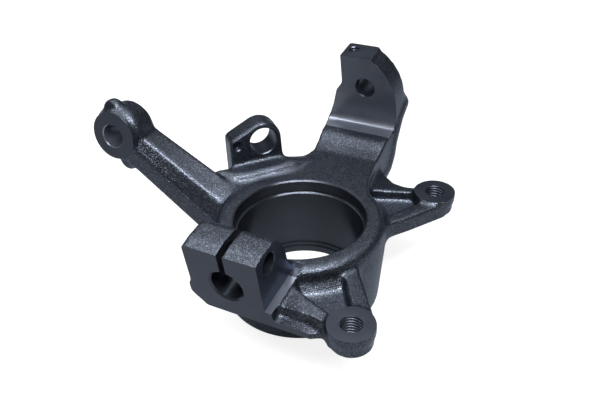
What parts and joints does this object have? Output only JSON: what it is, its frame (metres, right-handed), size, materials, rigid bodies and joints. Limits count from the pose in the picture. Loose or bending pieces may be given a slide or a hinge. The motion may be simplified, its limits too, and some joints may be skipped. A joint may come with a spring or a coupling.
{
  "type": "steering knuckle",
  "caption": "Cast iron steering knuckle with a wheel bearing bore, split ball joint clamp, caliper ears, steering arm, sensor lug and upper strut arm.",
  "frame": {"origin": "on the hub bore axis, in the outboard face that the part stands on", "axes": "+Z inboard along the hub bore, +Y towards the upper mount, +X towards the caliper ears"},
  "size_m": [0.2076, 0.2013, 0.1081],
  "materials": {
    "steering_knuckle": "dark blue-grey coated casting, milled and bored seats in the same coat"
  },
  "bodies": {
    "root": {"steering_knuckle": "steering_knuckle"}
  },
  "joints": []
}
